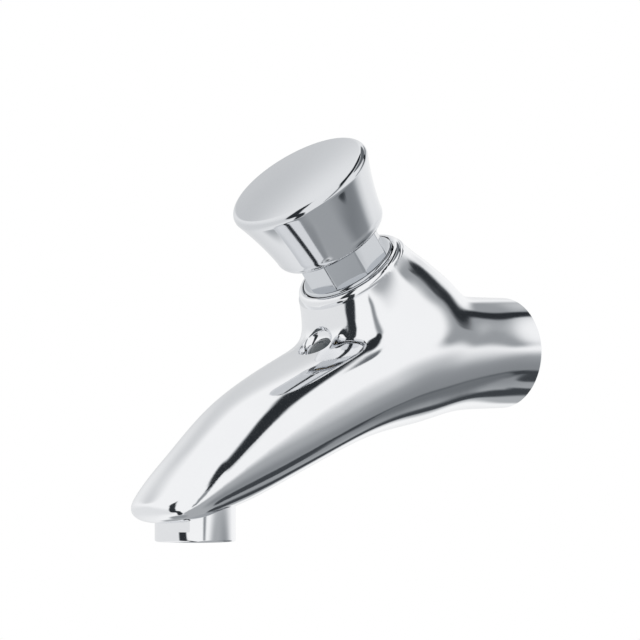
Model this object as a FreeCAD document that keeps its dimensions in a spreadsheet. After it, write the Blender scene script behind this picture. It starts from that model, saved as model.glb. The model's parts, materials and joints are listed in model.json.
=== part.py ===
import FreeCAD, Part
import math
import os
import Sketcher

# Wall-mounted push tap, millimetres.  The wall is the plane Y = 0, the spout runs towards -Y,
# +Z is up and the origin is the centre of the inlet mouth.

Vector = FreeCAD.Vector
doc = FreeCAD.newDocument("WallTap")

# Driving sizes

SIZES = {
    # neck and cartridge axis; levels are heights along that axis above the floor of the valve well
    "tilt": 39.2,
    "mouth_reach": 71.2,
    "mouth_rise": 25.8,
    "mouth_level": 52.0,
    # bores of the body along the neck axis
    "well_radius": 7.0,
    "shoulder_level": 12.0,
    "chamber_radius": 12.0,
    "thread_start": 38.0,
    "thread_radius": 13.2,
    "counterbore_level": 49.6,
    "counterbore_radius": 16.0,
    # body
    "rear_rounding": 3.2,
    "lip_rounding": 1.8,
    "blend_radius": 6.0,
    "inlet_radius": 9.32,
    "inlet_thread_depth": 10.4,
    "inlet_depth": 13.0,
    "duct_radius": 5.6,
    "duct_depth": 22.0,
    "feed_radius": 5.0,
    "feed_length": 21.0,
    "feed_target_level": 5.0,
    # waterway from the chamber's front to the outlet: its start in the neck's frame, its end from the origin
    "spout_duct_radius": 5.5,
    "spout_duct_offset": 9.8,
    "spout_duct_level": 19.0,
    "spout_duct_reach": 128.6,
    "spout_duct_drop": 35.6,
    "spout_duct_length": 76.5,
    # outlet
    "outlet_reach": 133.3,
    "outlet_level": 57.7,
    "outlet_seat": 46.4,
    "outlet_ledge": 40.4,
    "outlet_radius": 12.0,
    "outlet_thread_radius": 11.45,
    "outlet_duct_radius": 7.0,
    "outlet_duct_start": 37.0,
    "flat_distance": 11.0,
    "aerator_bore": 10.2,
    "aerator_mouth": 9.3,
    "aerator_lip_level": 55.4,
    "flat_top": 54.6,
    "flat_turn": 71.6,
    "flat_width": 26.0,
    "flat_block": 4.0,
    # colour index at the neck's foot; levels are heights along its own axis above the plug's rim
    "index_tilt": 50.0,
    "index_reach": 83.4,
    "index_rise": 0.45,
    "index_dish_radius": 5.8,
    "index_dish_depth": 1.2,
    "index_dish_height": 9.0,
    "index_hole_radius": 4.2,
    "index_hole_depth": 1.7,
    "index_radius": 4.15,
    "index_dome": 0.8,
    # bonnet
    "bonnet_foot": 40.0,
    "flange_level": 50.8,
    "flange_top": 52.8,
    "flange_radius": 15.5,
    "nut_radius": 13.9,
    "nut_turn": 24.0,
    "nut_top": 61.6,
    "nut_chamfer": 0.9,
    "flange_chamfer": 1.0,
    "gland_radius": 7.0,
    "gland_roof": 60.4,
    "clip_level": 44.8,
    "washer_level": 45.9,
    "seal_level": 47.0,
    "bush_level": 50.0,
    "stem_radius": 4.0,
    "stem_clearance": 0.06,
    # cartridge
    "cylinder_foot": 15.0,
    "cylinder_step": 23.0,
    "cylinder_slim": 10.6,
    "cylinder_radius": 11.7,
    "cylinder_bore": 9.3,
    "port_level": 18.6,
    "port_radius": 2.0,
    "port_count": 6,
    "o_ring_level": 27.0,
    "o_ring_top": 29.0,
    "seat_hole": 3.6,
    "seat_rib": 11.5,
    "seat_foot": 11.9,
    "seat_collar": 13.0,
    "piston_foot": 26.0,
    "piston_top": 38.0,
    "piston_radius": 8.9,
    "piston_web": 31.0,
    "piston_skirt": 7.6,
    "piston_groove": 7.9,
    "lip_seal_level": 32.4,
    "lip_seal_top": 34.6,
    "retainer_level": 36.2,
    "retainer_top": 37.3,
    "rod_radius": 1.5,
    "rod_foot": 6.6,
    "rod_shoulder_radius": 1.9,
    "washer_radius": 5.6,
    "washer_face": 11.5,
    "washer_back": 9.7,
    "cup_foot": 8.4,
    "cup_radius": 6.3,
    "valve_nut_radius": 3.2,
    "valve_nut_foot": 6.7,
    "spring_radius": 6.5,
    "spring_wire": 1.1,
    "spring_turns": 6,
    # push knob
    "knob_foot": 61.9,
    "knob_foot_radius": 15.9,
    "knob_waist": 65.2,
    "knob_waist_radius": 18.3,
    "knob_brim": 82.8,
    "knob_brim_radius": 22.9,
    "knob_top": 85.8,
    "knob_face_radius": 21.3,
    "knob_cavity_radius": 14.7,
    "knob_ceiling": 72.6,
    "knob_socket_top": 81.0,
    "jam_nut_radius": 7.5,
    "jam_nut_height": 3.2,
}

# Upright sections of the spout, wall to nose: distance from the wall, top, bottom and half width
SPOUT = [
    (0.0, 18.0, -17.6, 17.9),
    (14.0, 17.9, -18.0, 18.1),
    (30.0, 17.9, -19.9, 19.2),
    (46.0, 16.8, -22.9, 20.3),
    (62.0, 12.4, -25.9, 21.3),
    (78.0, 5.2, -30.2, 21.3),
    (94.0, -1.8, -36.6, 20.6),
    (108.0, -8.9, -42.8, 19.4),
    (121.0, -16.5, -48.0, 17.8),
    (134.0, -28.0, -51.2, 16.0),
    (142.0, -35.8, -52.2, 13.2),
    (148.0, -41.6, -51.8, 9.5),
    (151.2, -44.8, -50.2, 5.4),
    (152.2, -46.2, -48.9, 2.6),
]

# Sections of the neck square to its axis: depth below the mouth, half width, rear and front reach
NECK = [
    (0.0, 17.9, 17.9, 17.9),
    (5.0, 17.7, 19.4, 19.8),
    (12.0, 18.0, 22.4, 23.3),
    (20.0, 18.8, 25.8, 27.3),
    (29.0, 19.4, 28.8, 29.2),
    (38.0, 19.6, 30.8, 29.8),
]

sheet = doc.addObject("Spreadsheet::Sheet", "Sizes")
row = 1


def cell(alias, number):
    """Put one driving size in the sheet under its own name."""
    global row
    sheet.set("A%d" % row, alias)
    sheet.set("B%d" % row, str(number))
    sheet.setAlias("B%d" % row, alias)
    row += 1


for alias, number in SIZES.items():
    cell(alias, number)
SECTION_WORDS = ("away", "top", "bottom", "half")
for index, section in enumerate(SPOUT):
    for word, number in zip(SECTION_WORDS, section):
        cell("spout_%s_%s" % (word, chr(97 + index)), number)
NECK_WORDS = ("depth", "half", "rear", "front")
for index, section in enumerate(NECK):
    for word, number in zip(NECK_WORDS, section):
        cell("neck_%s_%s" % (word, chr(97 + index)), number)
doc.recompute()


def value(formula):
    """Number of a sum such as 'nut_top - 1.2', read from the sheet."""
    total = 0.0
    sign = 1.0
    for word in str(formula).split():
        if word in ("+", "-"):
            sign = 1.0 if word == "+" else -1.0
        elif word in SIZES:
            total += sign * float(sheet.get(word))
        else:
            total += sign * float(word)
    return total


def bound(formula):
    """The same sum as an expression on the sheet's cells."""
    words = str(formula).split()
    return " ".join("Sizes." + word if word in SIZES else word for word in words)


# Frames

TILT = math.radians(value("tilt"))
NECK_FRAME = FreeCAD.Placement(
    Vector(0, -value("mouth_reach") + value("mouth_level") * math.sin(TILT),
           value("mouth_rise") - value("mouth_level") * math.cos(TILT)),
    FreeCAD.Rotation(Vector(1, 0, 0), value("tilt")))
OUTLET_FRAME = FreeCAD.Placement(Vector(0, -value("outlet_reach"), 0),
                                 FreeCAD.Rotation(Vector(1, 0, 0), 180))
INLET_FRAME = FreeCAD.Placement(Vector(0, 0, 0), FreeCAD.Rotation(Vector(1, 0, 0), 90))
INDEX_FRAME = FreeCAD.Placement(Vector(0, -value("index_reach"), value("index_rise")),
                                FreeCAD.Rotation(Vector(1, 0, 0), value("index_tilt")))


def seat(thing, frame):
    """Place a piece in its frame; the neck frame stays tied to the sheet."""
    thing.Placement = frame
    if frame is NECK_FRAME:
        thing.setExpression("Placement.Rotation.Angle", "Sizes.tilt * 1 deg")
        thing.setExpression("Placement.Base.y",
                            "(Sizes.mouth_level * sin(Sizes.tilt * 1 deg) - Sizes.mouth_reach) * 1 mm")
        thing.setExpression("Placement.Base.z",
                            "(Sizes.mouth_rise - Sizes.mouth_level * cos(Sizes.tilt * 1 deg)) * 1 mm")


# Building blocks

def rod(name, radius, low, high, frame=None):
    """Plain cylinder between two levels of its axis."""
    piece = doc.addObject("Part::Cylinder", name)
    piece.Radius = value(radius)
    piece.setExpression("Radius", "(%s) * 1 mm" % bound(radius))
    piece.setExpression("Height", "(%s - (%s)) * 1 mm" % (bound(high), bound(low)))
    local = FreeCAD.Placement(Vector(0, 0, value(low)), FreeCAD.Rotation())
    if frame is None:
        piece.Placement = local
        piece.setExpression("Placement.Base.z", "(%s) * 1 mm" % bound(low))
    else:
        piece.Placement = frame * local
    return piece


def prism(name, radius, low, high, turn="0", sides=6):
    """Prism between two levels, its radius to the corners."""
    piece = doc.addObject("Part::Prism", name)
    piece.Polygon = sides
    piece.setExpression("Circumradius", "(%s) * 1 mm" % bound(radius))
    piece.setExpression("Height", "(%s - (%s)) * 1 mm" % (bound(high), bound(low)))
    spin = FreeCAD.Rotation(Vector(0, 0, 1), value(turn))
    piece.Placement = FreeCAD.Placement(Vector(0, 0, value(low)), spin)
    piece.setExpression("Placement.Base.z", "(%s) * 1 mm" % bound(low))
    return piece


def cut(name, base, tool):
    piece = doc.addObject("Part::Cut", name)
    piece.Base = base
    piece.Tool = tool
    return piece


def fuse(name, parts):
    piece = doc.addObject("Part::MultiFuse", name)
    piece.Shapes = parts
    return piece


def common(name, base, tool):
    piece = doc.addObject("Part::Common", name)
    piece.Base = base
    piece.Tool = tool
    return piece


def turned(label, profile, frame, arcs=()):
    """Body turned about its axis from (radius, level) corners; arcs bend a side through a point."""
    body = doc.addObject("PartDesign::Body", label)
    sketch = body.newObject("Sketcher::SketchObject", label + "_profile")
    plane = [item for item in body.Origin.OriginFeatures if item.Role == "XZ_Plane"][0]
    sketch.AttachmentSupport = [(plane, "")]
    sketch.MapMode = "FlatFace"
    points = [Vector(value(radius), value(level), 0) for radius, level in profile]
    bends = dict(arcs)
    count = len(points)
    for index in range(count):
        start = points[index]
        end = points[(index + 1) % count]
        if index in bends:
            middle = Vector(bends[index][0], bends[index][1], 0)
            sketch.addGeometry(Part.Arc(start, middle, end), False)
        else:
            sketch.addGeometry(Part.LineSegment(start, end), False)
    joins = []
    for index in range(count):
        before = (index - 1) % count
        first = 1 if (sketch.getPoint(index, 1) - points[index]).Length < 1e-6 else 2
        last = 2 if (sketch.getPoint(before, 2) - points[index]).Length < 1e-6 else 1
        joins.append((index, first, before, last))
    for index, first, before, last in joins:
        radius, level = profile[index]
        sketch.addConstraint(Sketcher.Constraint("Coincident", index, first, before, last))
        for kind, formula in (("DistanceX", radius), ("DistanceY", level)):
            if value(formula) == 0.0:
                target = -2 if kind == "DistanceX" else -1
                sketch.addConstraint(Sketcher.Constraint("PointOnObject", index, first, target))
                continue
            number = sketch.addConstraint(
                Sketcher.Constraint(kind, -1, 1, index, first, value(formula)))
            name = "%s_%d" % ("radius" if kind == "DistanceX" else "level", index)
            sketch.renameConstraint(number, name)
            sketch.setExpression("Constraints." + name, "(%s) * 1 mm" % bound(formula))
        if index in bends:
            curve = sketch.Geometry[index].Radius
            bend = sketch.addConstraint(Sketcher.Constraint("Radius", index, curve))
            sketch.renameConstraint(bend, "bend_%d" % index)
    revolve = body.newObject("PartDesign::Revolution", label + "_turn")
    revolve.Profile = sketch
    revolve.ReferenceAxis = (sketch, ["V_Axis"])
    revolve.Angle = 360
    seat(body, frame)
    return body


def ring(label, inner, outer, low, high, frame):
    """Plain flat ring."""
    profile = [(inner, low), (outer, low), (outer, high), (inner, high)]
    return turned(label, profile, frame)


# Tap body: cast brass, spout and neck lofted, then bored

def ellipse(name, major, minor, placement):
    piece = doc.addObject("Part::Ellipse", name)
    piece.MajorRadius = 60
    piece.MinorRadius = 1
    piece.setExpression("MajorRadius", major)
    piece.setExpression("MinorRadius", minor)
    piece.Placement = placement
    return piece


def loft(name, sections):
    piece = doc.addObject("Part::Loft", name)
    piece.Sections = sections
    piece.Solid = True
    piece.Ruled = False
    return piece


def spout_form():
    upright = FreeCAD.Rotation(Vector(1, 0, 0), 90)
    sections = []
    for index, (away, top, bottom, half) in enumerate(SPOUT):
        mark = chr(97 + index)
        rim = ellipse("spout_section_" + mark,
                      "Sizes.spout_half_%s * 1 mm" % mark,
                      "(Sizes.spout_top_{0} - Sizes.spout_bottom_{0}) / 2 * 1 mm".format(mark),
                      FreeCAD.Placement(Vector(0, -away, (top + bottom) / 2), upright))
        rim.setExpression("Placement.Base.y", "-Sizes.spout_away_%s * 1 mm" % mark)
        rim.setExpression("Placement.Base.z",
                          "(Sizes.spout_top_{0} + Sizes.spout_bottom_{0}) / 2 * 1 mm".format(mark))
        sections.append(rim)
    return loft("spout_form", sections)


def neck_form():
    sections = []
    for index, (depth, half, rear, front) in enumerate(NECK):
        mark = chr(97 + index)
        centre = Vector(0, (rear - front) / 2, value("mouth_level") - depth)
        turn = FreeCAD.Rotation(Vector(0, 0, 1), 90)
        rim = ellipse("neck_section_" + mark,
                      "(Sizes.neck_rear_{0} + Sizes.neck_front_{0}) / 2 * 1 mm".format(mark),
                      "Sizes.neck_half_%s * 1 mm" % mark,
                      NECK_FRAME * FreeCAD.Placement(centre, turn))
        sections.append(rim)
    return loft("neck_form", sections)


def blank_edges(shape):
    """Edges of the raw casting to round: the wall end, the mouth's lip and the neck's foot."""
    axis = NECK_FRAME.Rotation.multVec(Vector(0, 0, 1))
    mouth = NECK_FRAME.multVec(Vector(0, 0, value("mouth_level")))
    found = {"wall": [], "lip": [], "foot": []}
    for number, edge in enumerate(shape.Edges, 1):
        box = edge.BoundBox
        depths = [abs((vertex.Point - mouth).dot(axis)) for vertex in edge.Vertexes]
        faces = shape.ancestorsOfType(edge, Part.Face)
        if box.YMin > -0.01:
            found["wall"].append(number)
        elif max(depths) < 0.01 and edge.Length > 50:
            found["lip"].append(number)
        elif box.YMin > -110 and box.XLength > 20 and not faces[0].isSame(faces[-1]):
            found["foot"].append(number)
    return found


def rounded(name, base, place, radius):
    """Round one kind of edge of the casting."""
    doc.recompute()
    piece = doc.addObject("Part::Fillet", name)
    piece.Base = base
    piece.Edges = [(number, value(radius), value(radius)) for number in blank_edges(base.Shape)[place]]
    return piece


def index_seat(blank):
    """Dished recess at the neck's foot, with a blind hole for the index plug."""
    dish = doc.addObject("Part::Cone", "index_dish")
    dish.setExpression("Radius1", "(Sizes.index_hole_radius + 0.1) * 1 mm")
    dish.setExpression("Radius2", "Sizes.index_dish_radius * 1 mm")
    dish.setExpression("Height", "Sizes.index_dish_depth * 1 mm")
    dish.Placement = INDEX_FRAME
    mouth = rod("index_mouth", "index_dish_radius", "index_dish_depth", "index_dish_height", INDEX_FRAME)
    hole = rod("index_hole", "index_hole_radius", "0 - index_hole_depth", "1", INDEX_FRAME)
    return cut("index_bored", blank, fuse("index_recess", [dish, mouth, hole]))


def tap_body():
    """Cast spout and neck, bored for the cartridge, the inlet and the outlet."""
    casting = fuse("body_blank", [spout_form(), neck_form()])
    casting = rounded("body_blended", casting, "foot", "blend_radius")
    casting = rounded("body_wall_end", casting, "wall", "rear_rounding")
    casting = rounded("body_lipped", casting, "lip", "lip_rounding")
    cartridge_bore = fuse("cartridge_bore", [
        rod("well_bore", "well_radius", "0", "20"),
        rod("chamber_bore", "chamber_radius", "shoulder_level", "44"),
        rod("thread_bore", "thread_radius", "thread_start", "60"),
        rod("mouth_bore", "counterbore_radius", "counterbore_level", "60"),
    ])
    seat(cartridge_bore, NECK_FRAME)
    inlet_bore = fuse("inlet_bore", [
        rod("inlet_thread", "inlet_radius", "-1", "inlet_thread_depth", INLET_FRAME),
        rod("washer_seat", "inlet_radius - 0.3", "0", "inlet_depth", INLET_FRAME),
    ])
    inlet_duct = rod("inlet_duct", "duct_radius", "0", "duct_depth", INLET_FRAME)
    turn_in = Vector(0, 1 - value("duct_depth"), 0)
    well = NECK_FRAME.multVec(Vector(0, 0, value("feed_target_level")))
    feed = rod("feed_duct", "feed_radius", "0", "feed_length",
               FreeCAD.Placement(turn_in, FreeCAD.Rotation(Vector(0, 0, 1), well - turn_in)))
    duct_from = NECK_FRAME.multVec(Vector(0, -value("spout_duct_offset"), value("spout_duct_level")))
    duct_to = Vector(0, -value("spout_duct_reach"), -value("spout_duct_drop"))
    waterway = rod("spout_duct", "spout_duct_radius", "0", "spout_duct_length",
                   FreeCAD.Placement(duct_from, FreeCAD.Rotation(Vector(0, 0, 1), duct_to - duct_from)))
    outlet_bore = fuse("outlet_bore", [
        rod("outlet_duct", "outlet_duct_radius", "outlet_duct_start", "50", OUTLET_FRAME),
        rod("outlet_thread", "outlet_thread_radius + 0.05", "outlet_ledge", "50", OUTLET_FRAME),
        rod("outlet_counterbore", "outlet_radius + 0.15", "outlet_seat", "70", OUTLET_FRAME),
    ])
    bores = fuse("body_bores", [cartridge_bore, inlet_bore, inlet_duct, feed, waterway, outlet_bore])
    return cut("tap_body", index_seat(casting), bores)


def index_plug():
    return turned("index_plug", [
        ("0", "0.1 - index_hole_depth"), ("index_radius", "0.1 - index_hole_depth"),
        ("index_radius", "-0.1"), ("0.4", "index_dome"), ("0", "index_dome")],
        INDEX_FRAME, [(2, (2.4, 0.51))])


# Bonnet group, fixed in the neck

def bonnet():
    """Octagon headed bonnet with flange, threaded shank and gland bore."""
    crown = fuse("bonnet_crown", [
        rod("crown_side", "nut_radius + 0.1", "flange_level", "nut_top - nut_chamfer"),
        rod("crown_top", "nut_radius - nut_chamfer", "flange_level", "nut_top"),
    ])
    chamfer = doc.addObject("Part::Cone", "crown_chamfer")
    chamfer.setExpression("Radius1", "(Sizes.nut_radius + 0.1) * 1 mm")
    chamfer.setExpression("Radius2", "(Sizes.nut_radius - Sizes.nut_chamfer) * 1 mm")
    chamfer.setExpression("Height", "Sizes.nut_chamfer * 1 mm")
    chamfer.setExpression("Placement.Base.z", "(Sizes.nut_top - Sizes.nut_chamfer) * 1 mm")
    envelope = fuse("bonnet_envelope", [crown, chamfer])
    octagon = prism("bonnet_octagon", "nut_radius", "flange_level", "nut_top", "nut_turn", 8)
    head = common("bonnet_head", octagon, envelope)
    flange = doc.addObject("Part::Cone", "flange_chamfer")
    flange.setExpression("Radius1", "Sizes.flange_radius * 1 mm")
    flange.setExpression("Radius2", "(Sizes.flange_radius - Sizes.flange_chamfer) * 1 mm")
    flange.setExpression("Height", "Sizes.flange_chamfer * 1 mm")
    flange.setExpression("Placement.Base.z", "(Sizes.flange_top - Sizes.flange_chamfer) * 1 mm")
    solid = fuse("bonnet_solid", [
        head,
        flange,
        rod("bonnet_flange", "flange_radius", "flange_level", "flange_top - flange_chamfer"),
        rod("bonnet_shank", "thread_radius - 0.05", "bonnet_foot", "flange_level"),
    ])
    bore = fuse("bonnet_bore", [
        rod("gland_bore", "gland_radius", "bonnet_foot - 1", "gland_roof"),
        rod("clip_groove", "gland_radius + 0.7", "clip_level", "washer_level"),
        rod("bonnet_mouth", "stem_radius + 0.5", "gland_roof - 1", "nut_top + 1"),
    ])
    piece = cut("cartridge_bonnet", solid, bore)
    seat(piece, NECK_FRAME)
    return piece


def bonnet_fittings():
    """Gasket, bush, seal, washer and clip that the bonnet carries."""
    gland = "gland_radius - 0.03"
    hole = "stem_radius + stem_clearance"
    return [
        ring("bonnet_gasket", "thread_radius + 0.1", "flange_radius - 0.1", "counterbore_level",
             "flange_level", NECK_FRAME),
        ring("stem_bush", hole, gland, "bush_level", "gland_roof", NECK_FRAME),
        turned("stem_seal", [
            (hole, "seal_level"), ("stem_radius + 1.3", "seal_level"),
            ("stem_radius + 1.5", "seal_level + 1.4"), (gland + " - 0.6", "seal_level + 1.4"),
            (gland, "seal_level"), (gland, "bush_level"), (hole, "bush_level")], NECK_FRAME),
        ring("gland_washer", "stem_radius + 0.4", gland, "washer_level", "seal_level", NECK_FRAME),
        ring("gland_clip", "stem_radius + 1.4", "gland_radius + 0.65", "clip_level + 0.05",
             "washer_level", NECK_FRAME),
    ]


# Cartridge, fixed

def timing_cylinder():
    """Sleeve with side ports and a groove for its sealing ring."""
    sleeve = turned("sleeve", [
        ("cylinder_bore", "cylinder_foot"), ("cylinder_slim", "cylinder_foot"),
        ("cylinder_slim", "cylinder_step"), ("cylinder_radius", "cylinder_step"),
        ("cylinder_radius", "o_ring_level"), ("cylinder_slim - 0.1", "o_ring_level"),
        ("cylinder_slim - 0.1", "o_ring_top"), ("cylinder_radius", "o_ring_top"),
        ("cylinder_radius", "bonnet_foot"), ("cylinder_bore", "bonnet_foot"),
    ], FreeCAD.Placement())
    ports = []
    count = int(value("port_count"))
    for index in range(count):
        port = doc.addObject("Part::Cylinder", "port_%d" % index)
        port.setExpression("Radius", "Sizes.port_radius * 1 mm")
        port.setExpression("Height", "(Sizes.cylinder_radius + 4) * 1 mm")
        spin = FreeCAD.Rotation(Vector(0, 0, 1), 360 / count * (index + 0.5))
        port.Placement = FreeCAD.Placement(Vector(0, 0, value("port_level")),
                                           spin * FreeCAD.Rotation(Vector(0, 1, 0), 90))
        ports.append(port)
    piece = cut("timing_cylinder", sleeve, fuse("ports", ports))
    seat(piece, NECK_FRAME)
    return piece


def cartridge_fittings():
    """Sealing ring, valve seat and the seat's gasket."""
    return [
        turned("cylinder_o_ring", [
            ("cylinder_slim", "o_ring_level + 0.2"), ("chamber_radius - 0.3", "o_ring_level + 0.1"),
            ("chamber_radius - 0.05", "o_ring_level + 0.5"), ("chamber_radius - 0.05", "o_ring_top - 0.5"),
            ("chamber_radius - 0.3", "o_ring_top - 0.1"), ("cylinder_slim", "o_ring_top - 0.2")],
            NECK_FRAME),
        turned("valve_seat", [
            ("seat_hole", "seat_foot"), ("seat_hole + 0.7", "seat_foot"), ("seat_hole + 1.0", "seat_rib"),
            ("seat_hole + 1.5", "seat_rib"), ("seat_hole + 1.8", "seat_foot"),
            ("well_radius - 0.1", "seat_foot"), ("well_radius - 0.1", "seat_collar"),
            ("cylinder_radius", "seat_collar"), ("cylinder_radius", "cylinder_foot"),
            ("seat_hole", "cylinder_foot")], NECK_FRAME),
        ring("seat_gasket", "well_radius + 0.2", "cylinder_radius", "shoulder_level", "seat_collar",
             NECK_FRAME),
    ]


# Plunger group, slides

def plunger_pieces():
    """Piston with its lip seal and the stem's retaining ring, and the rod with the valve's washer."""
    collar = "stem_radius + 2.0"
    return [
        turned("piston", [
            ("rod_shoulder_radius", "piston_web"), ("piston_skirt", "piston_web"),
            ("piston_skirt", "piston_foot"), ("piston_radius", "piston_foot"),
            ("piston_radius", "lip_seal_level"), ("piston_groove", "lip_seal_level"),
            ("piston_groove", "lip_seal_top"), ("piston_radius", "lip_seal_top"),
            ("piston_radius", "piston_top"), (collar, "piston_top"),
            (collar, "retainer_top"), (collar + " + 0.6", "retainer_top"),
            (collar + " + 0.6", "retainer_level"), (collar, "retainer_level"),
            (collar, "piston_web + 3"), ("rod_shoulder_radius", "piston_web + 3")], NECK_FRAME),
        turned("piston_lip_seal", [
            ("piston_groove + 0.05", "lip_seal_level + 0.1"), ("cylinder_bore - 0.4", "lip_seal_level + 0.1"),
            ("cylinder_bore - 0.05", "lip_seal_top - 0.6"), ("cylinder_bore - 0.05", "lip_seal_top - 0.1"),
            ("cylinder_bore - 0.7", "lip_seal_top - 0.1"), ("cylinder_bore - 0.9", "lip_seal_level + 0.8"),
            ("piston_groove + 0.05", "lip_seal_level + 0.8")], NECK_FRAME),
        ring("stem_retainer", "stem_radius + 0.4", collar + " + 0.55", "retainer_level + 0.05",
             "retainer_top - 0.05", NECK_FRAME),
        turned("valve_rod", [
            ("0", "rod_foot"), ("rod_radius", "rod_foot"), ("rod_radius", "washer_back"),
            ("rod_shoulder_radius", "washer_back"), ("rod_shoulder_radius", "piston_web + 2.8"),
            ("0", "piston_web + 2.8")], NECK_FRAME),
        ring("valve_washer", "rod_shoulder_radius + 0.05", "washer_radius", "washer_back", "washer_face",
             NECK_FRAME),
        turned("washer_cup", [
            ("rod_radius + 0.05", "cup_foot"), ("cup_radius - 0.5", "cup_foot"),
            ("cup_radius", "cup_foot + 0.4"), ("cup_radius", "washer_back + 0.7"),
            ("washer_radius + 0.05", "washer_back + 0.7"), ("washer_radius + 0.05", "washer_back"),
            ("rod_radius + 0.05", "washer_back")], NECK_FRAME),
    ]


def valve_nut():
    piece = cut("valve_nut", prism("nut_outside", "valve_nut_radius", "valve_nut_foot", "cup_foot"),
                rod("nut_hole", "rod_radius + 0.02", "rod_foot - 1", "cup_foot + 1"))
    seat(piece, NECK_FRAME)
    return piece


def return_spring():
    """Round wire wound as quarter turns between the valve seat and the piston."""
    radius = value("spring_radius")
    wire = value("spring_wire")
    turns = int(value("spring_turns"))
    low = value("cylinder_foot") + wire / 2 + 0.02
    high = value("piston_web") - wire / 2 - 0.02

    def on_coil(share):
        angle = 2 * math.pi * turns * share
        return Vector(radius * math.cos(angle), radius * math.sin(angle), low + (high - low) * share)

    quarters = 4 * turns
    arcs = []
    for index in range(quarters):
        arcs.append(Part.Arc(on_coil(index / quarters), on_coil((index + 0.5) / quarters),
                             on_coil((index + 1) / quarters)).toShape())
    path = Part.Wire(arcs)
    start = arcs[0].tangentAt(arcs[0].FirstParameter)
    section = Part.Wire([Part.Circle(on_coil(0), start, wire / 2).toShape()])
    coil = path.makePipeShell([section], True, False)
    gap = (high - low) / turns - wire
    print("spring: least gap between turns %.2f mm" % gap)
    piece = doc.addObject("Part::Feature", "return_spring")
    piece.Shape = coil
    piece.Placement = NECK_FRAME
    return piece


# Button group, turns on the plunger

def push_knob():
    return turned("push_knob", [
        ("stem_radius + 0.02", "knob_ceiling"), ("knob_cavity_radius + 0.4", "knob_ceiling"),
        ("knob_cavity_radius", "knob_foot"), ("knob_foot_radius", "knob_foot"),
        ("knob_waist_radius", "knob_waist"), ("knob_brim_radius", "knob_brim"),
        ("knob_face_radius", "knob_top"), ("0", "knob_top"), ("0", "knob_socket_top"),
        ("stem_radius + 0.02", "knob_socket_top")], NECK_FRAME,
        [(3, (17.55, 62.9)), (4, (20.2, 74.2)), (5, (22.7, 84.9))])


def stem():
    return turned("stem", [
        ("0", "34"), ("5.5", "34"), ("5.5", "36"), ("stem_radius", "36"),
        ("stem_radius", "knob_socket_top - 0.8"), ("stem_radius - 0.8", "knob_socket_top"),
        ("0", "knob_socket_top")], NECK_FRAME)


def jam_nut():
    outside = prism("jam_outside", "jam_nut_radius", "knob_ceiling - jam_nut_height", "knob_ceiling")
    piece = cut("knob_jam_nut", outside,
                rod("jam_hole", "stem_radius + 0.02", "knob_ceiling - 4", "knob_ceiling + 1"))
    seat(piece, NECK_FRAME)
    return piece


# Inlet and outlet fittings

def inlet_pieces():
    return [
        ring("inlet_washer", "6.4", "inlet_radius - 0.35", "inlet_thread_depth", "12", INLET_FRAME),
        turned("inlet_strainer", [
            ("4.4", "12"), ("inlet_radius - 0.35", "12"), ("inlet_radius - 0.35", "inlet_depth"),
            ("5.0", "inlet_depth"), ("3.2", "20.6"), ("0", "20.6"), ("0", "20.1"), ("2.8", "20.1")],
            INLET_FRAME),
    ]


def aerator_housing():
    """Ring with a threaded top, two wrench flats and an inward lip at the mouth."""
    round_part = turned("housing_round", [
        ("aerator_bore", "outlet_ledge + 1.2"), ("outlet_thread_radius", "outlet_ledge + 1.2"),
        ("outlet_thread_radius", "outlet_seat"), ("outlet_radius", "outlet_seat"),
        ("outlet_radius", "outlet_level - 0.7"), ("outlet_radius - 0.7", "outlet_level"),
        ("aerator_mouth", "outlet_level"), ("aerator_mouth", "aerator_lip_level"),
        ("aerator_bore", "aerator_lip_level")], FreeCAD.Placement())
    flats = []
    for index in range(2):
        block = doc.addObject("Part::Box", "flat_%d" % index)
        block.setExpression("Length", "Sizes.flat_block * 1 mm")
        block.setExpression("Width", "Sizes.flat_width * 1 mm")
        block.setExpression("Height", "(Sizes.flat_top - Sizes.outlet_seat) * 1 mm")
        spin = FreeCAD.Rotation(Vector(0, 0, 1), value("flat_turn") + 180 * index)
        corner = Vector(value("flat_distance"), -value("flat_width") / 2, value("outlet_seat"))
        block.Placement = FreeCAD.Placement(Vector(0, 0, 0), spin) * FreeCAD.Placement(
            corner, FreeCAD.Rotation())
        flats.append(block)
    piece = cut("aerator_housing", round_part, fuse("wrench_flats", flats))
    piece.Placement = OUTLET_FRAME
    return piece


def drilled_disc(label, radius, low, high, hole, circles):
    """Round plate with circles of small holes: (circle radius, count) each."""
    disc = rod(label + "_blank", radius, low, high)
    holes = [rod(label + "_centre", hole, low + " - 1", high + " + 1")]
    for circle, count in circles:
        for index in range(count):
            angle = 2 * math.pi * index / count
            drill = rod("%s_%d_%d" % (label, count, index), hole, low + " - 1", high + " + 1")
            drill.Placement.Base = Vector(circle * math.cos(angle), circle * math.sin(angle),
                                          value(low) - 1)
            holes.append(drill)
    piece = cut(label, disc, fuse(label + "_holes", holes))
    piece.Placement = OUTLET_FRAME
    return piece


def aerator_pieces():
    return [
        aerator_housing(),
        ring("aerator_gasket", "8.2", "outlet_thread_radius - 0.2", "outlet_ledge",
             "outlet_ledge + 1.2", OUTLET_FRAME),
        turned("jet_regulator", [
            ("6.6", "42.4"), ("aerator_bore - 0.1", "42.4"), ("aerator_bore - 0.1", "44.2"),
            ("9.2", "44.2"), ("8.6", "49.6"), ("0", "49.6"), ("0", "48.2"), ("6.6", "48.2")],
            OUTLET_FRAME),
        drilled_disc("jet_screen", "aerator_bore - 0.1", "50", "51.2", "0.9", [(3.4, 6), (6.8, 12)]),
        drilled_disc("outlet_grid", "aerator_bore - 0.1", "aerator_lip_level - 3", "aerator_lip_level", "1.3",
                     [(3.7, 6), (7.4, 12)]),
    ]


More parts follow.
